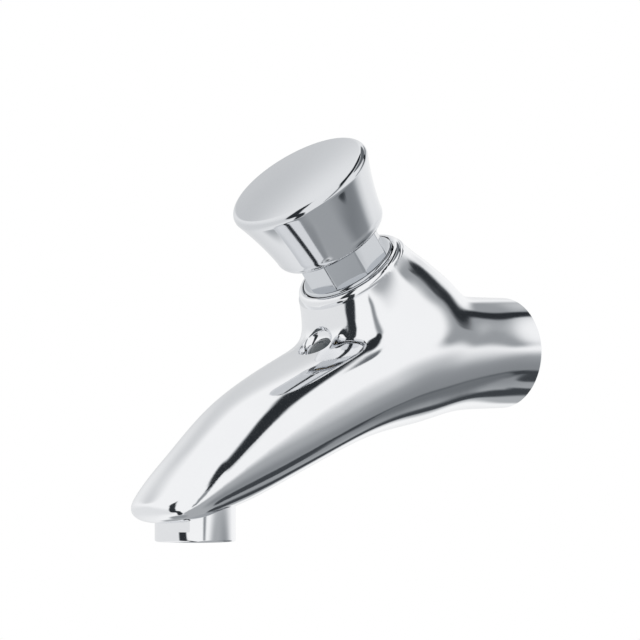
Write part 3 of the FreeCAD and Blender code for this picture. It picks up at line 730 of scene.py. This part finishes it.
class TAP_OT_knob(bpy.types.Operator):
    """Push knob: turned trumpet with rounded brim and hollow foot"""
    bl_idname = "tap.knob"
    bl_label = "Push knob"

    def execute(self, context):
        # corners in mm: the hollow round the bonnet, the outside from foot to face, and the hub's bore
        foot = (15.9, 61.9)
        waist = (18.3, 65.2)
        brim = (22.88, 82.8)
        face = (21.28, KNOB_TOP)
        profile = [(4.0, 72.6), (15.1, 72.6), (14.7, 62.2), (15.0, 61.9), foot]
        profile += through(foot, (17.55, 62.9), waist, 10)
        profile += through(waist, (20.2, 74.2), brim, 24)
        profile += through(brim, (22.68, 84.89), face, 10)
        profile += [(0, KNOB_TOP), (0, 81), (4.0, 81)]
        knob = lathe("push_knob_turned", profile, neck_matrix(), 192, 25)
        # same chrome and roughness as the casting in a darker tone: painted shade
        plate = chrome_plate("chrome_plate_knob_shaded", context.scene.tap_colours.knob)
        finish_piece(knob, "button", "chrome", "push_knob", plate)
        return {"FINISHED"}


class TAP_OT_bonnet(bpy.types.Operator):
    """Bonnet: octagon with a chamfered crown over a round flange"""
    bl_idname = "tap.bonnet"
    bl_label = "Bonnet"

    def execute(self, context):
        neck = neck_matrix()
        head = prism("bonnet_turned", HEAD_SIDES, HEAD_RADIUS, HEAD_FOOT, HEAD_TOP, HEAD_TURN, HEAD_CORNER,
                     neck)
        crown = lathe("crown", [(0, 50), (14.5, 50), (14.5, HEAD_TOP - HEAD_CHAMFER), (HEAD_CROWN, HEAD_TOP),
                                (0, HEAD_TOP)], neck, 96)
        boolean(head, crown, "INTERSECT")
        flange = lathe("flange", [(0, 40), (13.15, 40), (13.15, 50.8), (15.5, 50.8), (15.5, 51.8),
                                  *through((15.5, 51.8), (15.2, 52.5), (14.5, 52.8), 6), (0, 52.8)], neck)
        boolean(head, flange, "UNION")
        boolean(head, lathe("bore", BONNET_BORE, neck, 64), "DIFFERENCE")
        resharpen(head, 20)
        # same chrome as the casting in a darker tone: painted shade under the knob's brim
        plate = chrome_plate("chrome_plate_bonnet_shaded", context.scene.tap_colours.bonnet)
        finish_piece(head, "root", "chrome", "cartridge_bonnet", plate)
        return {"FINISHED"}


class TAP_OT_aerator(bpy.types.Operator):
    """Aerator ring with wrench flats"""
    bl_idname = "tap.aerator"
    bl_label = "Aerator"

    def execute(self, context):
        outlet = outlet_matrix()
        low_edge = through((12.0, 57.0), (11.8, 57.5), (11.3, AERATOR_END), 6)
        ring = lathe("aerator_ring", [(10.2, 41.6), (11.4, 41.6), (11.4, 46.4), (12.0, 46.4), (12.0, 57.0),
                                      *low_edge, (9.7, AERATOR_END), (9.3, 57.3), (9.3, 55.4), (10.2, 55.4)],
                     outlet)
        for side in range(2):
            bm = bmesh.new()
            bmesh.ops.create_cube(bm, size=1.0)
            spin = Matrix.Rotation(math.radians(FLAT_TURN + 180 * side), 4, "Z")
            shift = Matrix.Translation((FLAT_REACH + FLAT_DEPTH / 2, 0, FLAT_LEVEL))
            bm.transform(outlet @ spin @ shift @ Matrix.Diagonal((FLAT_DEPTH, FLAT_LENGTH, FLAT_HEIGHT, 1)))
            boolean(ring, object_from(bm, "flat_tool"), "DIFFERENCE")
        resharpen(ring, 20)
        finish_piece(ring, "root", "chrome", "aerator_housing", chrome_plate())
        return {"FINISHED"}


def node_tree(name, **sizes):
    """Geometry tree with named inputs, ready for its nodes, and the sockets that give these inputs."""
    tree = bpy.data.node_groups.new(name, "GeometryNodeTree")
    for key, size in sizes.items():
        socket = tree.interface.new_socket(key.replace("_", " "), in_out="INPUT",
                                           socket_type="NodeSocketFloat")
        socket.default_value = size
    tree.interface.new_socket("Geometry", in_out="OUTPUT", socket_type="NodeSocketGeometry")
    return tree, tree.nodes.new("NodeGroupInput").outputs


def close_tree(tree, geometry, material):
    """End a tree with real geometry in one material."""
    real = add(tree, "GeometryNodeRealizeInstances", {"Geometry": geometry})
    painted = add(tree, "GeometryNodeSetMaterial", {"Geometry": real.outputs["Geometry"]})
    painted.inputs["Material"].default_value = material
    end = tree.nodes.new("NodeGroupOutput")
    tree.links.new(painted.outputs["Geometry"], end.inputs["Geometry"])


def grown(name, tree, matrix, **sizes):
    """Plain mesh that a tree makes from its inputs, in its place."""
    thing = linked(name, bpy.data.meshes.new(name))
    modifier = thing.modifiers.new("rule", "NODES")
    modifier.node_group = tree
    identifiers = {item.name: item.identifier for item in tree.interface.items_tree
                   if item.in_out == "INPUT"}
    for key, size in sizes.items():
        modifier[identifiers[key.replace("_", " ")]] = float(size)
    bake_modifiers(thing)
    thing.data.transform(matrix)
    return thing


class TAP_OT_spring(bpy.types.Operator):
    """Return spring: round wire wound in a rising coil"""
    bl_idname = "tap.spring"
    bl_label = "Return spring"

    def execute(self, context):
        neck = neck_matrix()
        source = frame["nodes"]["return_spring"]
        back = neck.inverted() @ source.matrix_world
        levels = [(back @ vertex.co).z for vertex in source.data.vertices]
        low, high = min(levels) + SPRING_WIRE / 2, max(levels) - SPRING_WIRE / 2
        tree, inputs = node_tree("wound_wire", Coil_Radius=SPRING_RADIUS, Turns=SPRING_TURNS, Rise=15.0,
                                 Wire_Radius=SPRING_WIRE / 2)
        coil = add(tree, "GeometryNodeCurveSpiral", {
            "Rotations": inputs["Turns"], "Start Radius": inputs["Coil Radius"],
            "End Radius": inputs["Coil Radius"], "Height": inputs["Rise"]}, Resolution=48)
        section = add(tree, "GeometryNodeCurvePrimitiveCircle", {"Radius": inputs["Wire Radius"]},
                      Resolution=16)
        wound = add(tree, "GeometryNodeCurveToMesh", {
            "Curve": coil.outputs["Curve"], "Profile Curve": section.outputs["Curve"]}, Fill_Caps=True)
        close_tree(tree, wound.outputs["Mesh"], stainless_steel())
        spring = grown("return_spring_wound", tree, neck @ Matrix.Translation((0, 0, low)),
                       Turns=SPRING_TURNS, Rise=high - low)
        resharpen(spring, 60)
        finish_piece(spring, "root", "stainless", "return_spring")
        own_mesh(spring)
        return {"FINISHED"}


class TAP_OT_plates(bpy.types.Operator):
    """Screen and outlet grid: round plates with a middle hole and two circles of holes"""
    bl_idname = "tap.plates"
    bl_label = "Perforated plates"

    def execute(self, context):
        for node, (top, foot, hole, inner, outer) in PLATES.items():
            tree, inputs = node_tree(node + "_rule", Plate_Radius=PLATE_RADIUS, Thickness=1.2,
                                     Hole_Radius=1.0, Inner_Circle=3.5, Outer_Circle=7.0)
            plate = add(tree, "GeometryNodeMeshCylinder", {
                "Radius": inputs["Plate Radius"], "Depth": inputs["Thickness"]}, Vertices=128)
            deep = add(tree, "ShaderNodeMath", {0: inputs["Thickness"]}, operation="MULTIPLY")
            deep.inputs[1].default_value = 2.0
            drill = add(tree, "GeometryNodeMeshCylinder", {
                "Radius": inputs["Hole Radius"], "Depth": deep.outputs["Value"]}, Vertices=32)
            near = add(tree, "GeometryNodeMeshCircle", {"Radius": inputs["Inner Circle"]},
                       Vertices=INNER_HOLES)
            far = add(tree, "GeometryNodeMeshCircle", {"Radius": inputs["Outer Circle"]},
                      Vertices=OUTER_HOLES)
            middle = add(tree, "GeometryNodeMeshLine", Count=1)
            places = add(tree, "GeometryNodeJoinGeometry")
            for circle in (near, far, middle):
                tree.links.new(circle.outputs["Mesh"], places.inputs["Geometry"])
            drills = add(tree, "GeometryNodeInstanceOnPoints", {
                "Points": places.outputs["Geometry"], "Instance": drill.outputs["Mesh"]})
            real = add(tree, "GeometryNodeRealizeInstances", {"Geometry": drills.outputs["Instances"]})
            cut = add(tree, "GeometryNodeMeshBoolean", {
                "Mesh 1": plate.outputs["Mesh"], "Mesh 2": real.outputs["Geometry"]},
                operation="DIFFERENCE", solver="EXACT")
            close_tree(tree, cut.outputs["Mesh"], MAKERS[SLOTS[node]]())
            place = outlet_matrix() @ Matrix.Translation((0, 0, (top + foot) / 2))
            disc = grown(node + "_perforated", tree, place, Thickness=foot - top, Hole_Radius=hole,
                         Inner_Circle=inner, Outer_Circle=outer)
            resharpen(disc)
            finish_piece(disc, "root", SLOTS[node], node)
        return {"FINISHED"}


class TAP_OT_inner(bpy.types.Operator):
    """Finish of each node's slot, which shows on the fittings that keep their own shape"""
    bl_idname = "tap.inner"
    bl_label = "Inner fittings"

    def execute(self, context):
        for node, thing in frame["nodes"].items():
            thing.data.materials.clear()
            thing.data.materials.append(MAKERS[SLOTS[node]]())
        return {"FINISHED"}


# Stage

# Floor: how far it lies below the tap's origin and its radius in metres, the parts of the radius between
# which it fades out, and its own glow's strength and share, which only the eye, metal and clear pieces see
FLOOR_DROP = 0.6
FLOOR_SPAN = 3.0
FLOOR_FADE = (0.5, 0.95)
FLOOR_GLOW = 0.96
FLOOR_GLOW_SHARE = 0.65

# Tent's radius and the lamps' distance in metres; the powers of a tone that give its red, green and blue,
# so that dark tones lean to blue
TENT_RADIUS = 4.0
TENT_TINT = (1.06, 1.02, 0.98)
LAMP_REACH = 1.8

# Strokes on the white tent round the tap, seen only in the metal: tone, softness of the edge, and points
# of the stroke's middle line as azimuth from the camera's, elevation and half width in degrees. Later
# strokes lie over earlier ones
STROKES = {
    "left_wall": (0.84, 0.8, [(-170, -10, 30), (-140, -12, 44), (-105, -12, 50), (-70, -14, 46),
                              (-45, -22, 30)]),
    "left_far": (0.7, 1.0, [(-172, 18, 26), (-160, 32, 22), (-140, 38, 14)]),
    "nadir": (0.34, 0.6, [(-150, -80, 16), (-60, -80, 18), (30, -80, 20), (120, -80, 20)]),
    "right_low": (0.44, 0.3, [(52, -44, 32), (74, -34, 41), (95, -40, 40), (120, -46, 34), (150, -50, 28),
                              (176, -56, 24)]),
    "right_dim": (0.27, 1.0, [(84, -24, 22), (100, -20, 30), (116, -24, 27)]),
    "rear_halo": (0.36, 0.8, [(98, 12, 8), (108, 19, 12), (120, 27, 15), (130, 34, 15), (142, 36, 14),
                              (158, 30, 11)]),
    "rear_wall": (0.16, 0.45, [(80, 56, 8), (96, 58, 13), (116, 58, 15), (140, 56, 15), (165, 54, 12)]),
    "rear_gap": (0.03, 0.5, [(109, 20, 1.5), (115, 23.5, 3), (122, 25, 4.5), (128, 28, 6), (132, 34, 8),
                             (132, 42, 7)]),
    "camera_gap": (0.035, 0.35, [(-3, -58, 8), (-5, -48, 10), (-9, -36, 9), (-17, -22, 10), (-30, -13, 12),
                                 (-35, 2, 13), (-38, 16, 11), (-43, 33, 9), (-52, 45, 7), (-62, 54, 4)]),
    "roof_tip": (0.3, 0.8, [(27, -9, 5), (31, 4, 9), (33, 18, 11), (35, 31, 10), (34, 41, 8)]),
    "roof_gap": (0.03, 0.4, [(33, 38, 5), (34, 48, 8), (32, 57, 10), (34, 66, 12), (46, 74, 12),
                             (85, 82, 10.5), (140, 80, 10), (172, 73, 9), (182, 66, 7)]),
    "low_gap": (0.06, 0.5, [(110, -35, 4), (104, -33, 5.5), (99, -29, 5), (102, -26, 4), (112, -25, 4.5)]),
    "low_bridge": (0.18, 0.7, [(110, -25, 4), (120, -26, 4.5), (132, -27, 4.5)]),
    "boss_low": (0.06, 0.5, [(136, -27, 4), (144, -27, 6), (146, -31, 6), (141, -36, 6.5), (136, -40, 6),
                             (130, -41, 5)]),
}


def bearing(azimuth, elevation):
    """Direction at an azimuth from the camera's and an elevation, in degrees; also for arrays."""
    turn = np.radians(bpy.context.scene.tap_studio.azimuth + azimuth)
    rise = np.radians(elevation)
    return np.stack([np.sin(turn) * np.cos(rise), -np.cos(turn) * np.cos(rise), np.sin(rise)], -1)


def place_round(azimuth, elevation, reach):
    """Point at an azimuth from the camera's, an elevation and a distance from the tap."""
    return Vector(bpy.context.scene.tap_studio.aim) + Vector(bearing(azimuth, elevation)) * reach


def turn_to_tap(thing):
    """Turn a camera or lamp from its place to the point that is looked at."""
    back = thing.location - Vector(bpy.context.scene.tap_studio.aim)
    thing.rotation_euler = back.to_track_quat("Z", "Y").to_euler()


def tent_tones(places):
    """Tone of the tent in each direction: white with the strokes laid over it in turn."""
    tones = np.ones(len(places))
    for tone, softness, points in STROKES.values():
        knots = np.array(points, float)
        steps = np.linspace(0, len(knots) - 1, 24 * (len(knots) - 1) + 1)
        azimuths, elevations, halves = curve_table(np.column_stack([np.arange(len(knots)), knots]))(steps).T
        apart = np.degrees(np.arccos(np.clip(places @ bearing(azimuths, elevations).T, -1, 1)))
        nearest = (apart / np.maximum(halves, 0.5)).min(axis=1)
        share = np.clip((1 - nearest) / softness, 0, 1)
        share = share * share * (3 - 2 * share)
        tones += (tone - tones) * share
    return tones


def studio_tent():
    """Round tent of white cloth with dark gaps; only the metal sees it."""
    bm = bmesh.new()
    bmesh.ops.create_uvsphere(bm, u_segments=240, v_segments=120, radius=TENT_RADIUS)
    bmesh.ops.reverse_faces(bm, faces=bm.faces)
    mesh = bpy.data.meshes.new("tent")
    bm.to_mesh(mesh)
    bm.free()
    places = np.empty(len(mesh.vertices) * 3)
    mesh.vertices.foreach_get("co", places)
    tones = tent_tones(places.reshape(-1, 3) / TENT_RADIUS)
    colours = np.column_stack([tones ** power for power in TENT_TINT] + [np.ones(len(tones))])
    mesh.attributes.new("tone", "FLOAT_COLOR", "POINT").data.foreach_set("color", colours.ravel())
    tent = linked("tent", mesh)
    tent.location = Vector(bpy.context.scene.tap_studio.aim)
    material = bpy.data.materials.new("tent_cloth")
    material.use_nodes = True
    tree = material.node_tree
    tree.nodes.clear()
    cloth = add(tree, "ShaderNodeAttribute", attribute_name="tone")
    glow = add(tree, "ShaderNodeEmission", {"Color": cloth.outputs["Color"]}, Strength=1.0)
    add(tree, "ShaderNodeOutputMaterial", {"Surface": glow.outputs["Emission"]})
    mesh.materials.append(material)
    tent.visible_camera = False
    tent.visible_diffuse = False
    tent.visible_transmission = False
    tent.visible_shadow = False


def seen_rays(tree):
    """1 for rays of the eye, of metal and of clear pieces, which see the plain background."""
    rays = add(tree, "ShaderNodeLightPath")
    seen = add(tree, "ShaderNodeMath", {0: rays.outputs["Is Camera Ray"], 1: rays.outputs["Is Glossy Ray"]},
               operation="MAXIMUM")
    shown = add(tree, "ShaderNodeMath", {0: seen.outputs["Value"], 1: rays.outputs["Is Transmission Ray"]},
                operation="MAXIMUM")
    return shown.outputs["Value"]


def studio_world():
    """White to the eye, to metal and through clear pieces; plain grey light for everything dull."""
    world = bpy.data.worlds.new("studio")
    bpy.context.scene.world = world
    world.use_nodes = True
    tree = world.node_tree
    tree.nodes.clear()
    light = add(tree, "ShaderNodeBackground", Color=(1, 1, 1, 1), Strength=0.6)
    white = add(tree, "ShaderNodeBackground", Color=(1, 1, 1, 1), Strength=1.0)
    mix = add(tree, "ShaderNodeMixShader", {"Fac": seen_rays(tree), 1: light.outputs["Background"],
                                            2: white.outputs["Background"]})
    add(tree, "ShaderNodeOutputWorld", {"Surface": mix.outputs["Shader"]})


def soft_box(name, azimuth, elevation, side, level):
    """Square lamp turned to the tap, with a level of 1 for white; the metal doesn't show it."""
    data = bpy.data.lights.new(name, "AREA")
    data.size = side
    data.energy = level * math.pi * side ** 2
    lamp = bpy.data.objects.new(name, data)
    bpy.context.scene.collection.objects.link(lamp)
    lamp.location = place_round(azimuth, elevation, LAMP_REACH)
    turn_to_tap(lamp)
    lamp.visible_camera = False
    lamp.visible_glossy = False


def studio_floor():
    """Matt pale board well below the tap."""
    bm = bmesh.new()
    bmesh.ops.create_circle(bm, cap_ends=True, segments=96, radius=FLOOR_SPAN)
    bm.transform(Matrix.Translation((0, -0.08, -FLOOR_DROP)))
    floor = object_from(bm, "floor")
    material, tree, surface = new_material("floor_board_matt")
    surface.inputs["Base Color"].default_value = (*linear("#F0F0EF"), 1)
    surface.inputs["Roughness"].default_value = 0.85
    shown = seen_rays(tree)
    part = add(tree, "ShaderNodeMath", {0: shown}, operation="MULTIPLY")
    part.inputs[1].default_value = FLOOR_GLOW_SHARE
    glow = add(tree, "ShaderNodeEmission", Strength=FLOOR_GLOW)
    board = add(tree, "ShaderNodeMixShader", {"Fac": part.outputs["Value"], 1: surface.outputs["BSDF"],
                                              2: glow.outputs["Emission"]})
    # the board fades out towards its edge, as a paper sweep does
    where = add(tree, "ShaderNodeTexCoord")
    reach = add(tree, "ShaderNodeVectorMath", {"Vector": where.outputs["Object"]}, operation="LENGTH")
    fade = add(tree, "ShaderNodeMapRange", {"Value": reach.outputs["Value"]},
               From_Min=FLOOR_FADE[0] * FLOOR_SPAN, From_Max=FLOOR_FADE[1] * FLOOR_SPAN,
               interpolation_type="SMOOTHSTEP")
    clear = add(tree, "ShaderNodeBsdfTransparent")
    sweep = add(tree, "ShaderNodeMixShader", {"Fac": fade.outputs["Result"], 1: board.outputs["Shader"],
                                              2: clear.outputs["BSDF"]})
    tree.links.new(sweep.outputs["Shader"], tree.nodes["Material Output"].inputs["Surface"])
    floor.data.materials.append(material)
    floor.visible_glossy = False


class TAP_OT_stage(bpy.types.Operator):
    """Camera, floor and light"""
    bl_idname = "tap.stage"
    bl_label = "Stage"

    def execute(self, context):
        scene = context.scene
        settings = scene.tap_studio
        scene.view_settings.view_transform = "Standard"
        data = bpy.data.cameras.new("camera")
        data.lens = settings.lens
        data.sensor_width = 36
        camera = bpy.data.objects.new("camera", data)
        scene.collection.objects.link(camera)
        camera.location = place_round(0, settings.elevation, settings.distance)
        turn_to_tap(camera)
        scene.camera = camera
        studio_world()
        studio_floor()
        soft_box("right_box", 40, 35, 1.2, 0.5)
        soft_box("left_box", -75, 50, 1.2, 0.5)
        studio_tent()
        return {"FINISHED"}


class TAP_PT_panel(bpy.types.Panel):
    """Buttons for the tap's pieces"""
    bl_idname = "TAP_PT_panel"
    bl_label = "Wall-mounted push tap"
    bl_space_type = "VIEW_3D"
    bl_region_type = "UI"
    bl_category = "Tap"

    def draw(self, context):
        for operator in STEPS:
            self.layout.operator(operator.bl_idname)


STEPS = (TAP_OT_inner, TAP_OT_casting, TAP_OT_knob, TAP_OT_bonnet, TAP_OT_aerator, TAP_OT_plates,
         TAP_OT_spring, TAP_OT_stage)
CLASSES = (CastingSizes, FinishColours, StudioSettings) + STEPS + (TAP_PT_panel,)


def register():
    for kind in CLASSES:
        bpy.utils.register_class(kind)
    bpy.types.Scene.tap_casting = PointerProperty(type=CastingSizes)
    bpy.types.Scene.tap_colours = PointerProperty(type=FinishColours)
    bpy.types.Scene.tap_studio = PointerProperty(type=StudioSettings)


def unregister():
    del bpy.types.Scene.tap_casting
    del bpy.types.Scene.tap_colours
    del bpy.types.Scene.tap_studio
    for kind in reversed(CLASSES):
        bpy.utils.unregister_class(kind)


def main():
    register()
    for operator in STEPS:
        group, name = operator.bl_idname.split(".")
        getattr(getattr(bpy.ops, group), name)()


if __name__ == "__main__":
    main()
